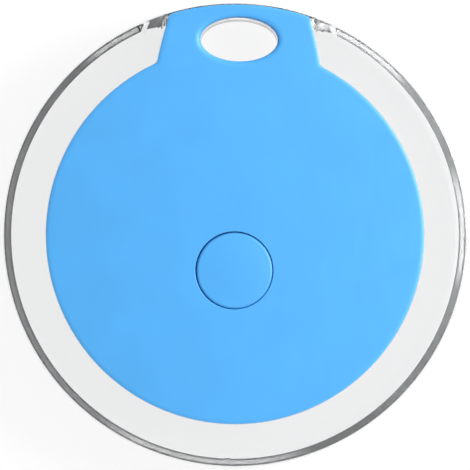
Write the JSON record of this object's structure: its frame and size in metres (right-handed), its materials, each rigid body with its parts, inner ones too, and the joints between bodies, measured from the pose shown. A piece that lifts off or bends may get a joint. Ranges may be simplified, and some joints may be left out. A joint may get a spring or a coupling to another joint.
{
  "type": "bluetooth tracker tag",
  "caption": "Coin-shaped wireless key finder: blue front and rear covers in a clear edge frame, a round press button and an oval key-ring hole in the tongue.",
  "frame": {"origin": "middle of the flat rear face, on which the tag lies", "axes": "+Z out of the front face with the button, +Y from the middle towards the key-ring tongue, +X to the right as the front face is looked at with the tongue up"},
  "size_m": [0.042, 0.042, 0.009],
  "materials": {
    "cover_blue": "satin moulded ABS",
    "clear_plastic": "clear polished polycarbonate",
    "board_green": "solder mask on glass-epoxy laminate",
    "cell_steel": "nickel-plated steel",
    "spring_steel": "stainless spring sheet",
    "contact_gold": "gold-plated copper",
    "diaphragm_brass": "brass disc with a ceramic face",
    "black_resin": "moulded epoxy or nylon",
    "inner_grey": "moulded ABS",
    "gasket_grey": "polypropylene seal",
    "cell_core": "pressed electrodes",
    "ceramic_tan": "fired ceramic with tinned ends",
    "led_white": "cast resin",
    "ferrite_grey": "ferrite"
  },
  "bodies": {
    "housing": {"clear_frame": "clear_plastic", "rear_cover": "cover_blue", "inner_frame": "inner_grey", "circuit_board": "board_green", "battery_clip": "spring_steel", "negative_contact": "spring_steel", "coin_cell_can": "cell_steel", "coin_cell_core": "cell_core", "coin_cell_gasket": "gasket_grey", "coin_cell_cap": "cell_steel", "ble_chip": "black_resin", "crystal": "cell_steel", "antenna_trace": "contact_gold", "rf_inductor": "ferrite_grey", "buzzer_inductor": "ferrite_grey", "buzzer_transistor": "black_resin", "status_led": "led_white", "switch_base": "black_resin", "switch_cover": "cell_steel", "switch_dome": "spring_steel", "buzzer_case": "black_resin", "buzzer_diaphragm": "diaphragm_brass", "capacitor_1": "ceramic_tan", "capacitor_2": "ceramic_tan", "capacitor_3": "ceramic_tan", "capacitor_4": "ceramic_tan", "capacitor_5": "ceramic_tan", "capacitor_6": "ceramic_tan", "resistor_1": "black_resin", "resistor_2": "black_resin", "resistor_3": "black_resin", "resistor_4": "black_resin"},
    "lid": {"front_cover": "cover_blue"},
    "button": {"button_cap": "cover_blue"},
    "plunger": {"switch_plunger": "black_resin"}
  },
  "joints": [
    {"name": "front_cover_lift", "type": "slide", "parent": "housing", "child": "lid", "axis": [0, 0, 1], "range_m": [0, 0.015]},
    {"name": "button_press", "type": "slide", "parent": "lid", "child": "button", "axis": [0, 0, -1], "range_m": [0, 0.0003], "stiffness_N_per_m": 800},
    {"name": "plunger_press", "type": "slide", "parent": "housing", "child": "plunger", "axis": [0, 0, -1], "range_m": [0, 0.0003]}
  ],
  "couplings": [
    {"joint": "plunger_press", "follows": "button_press", "ratio": 1}
  ]
}
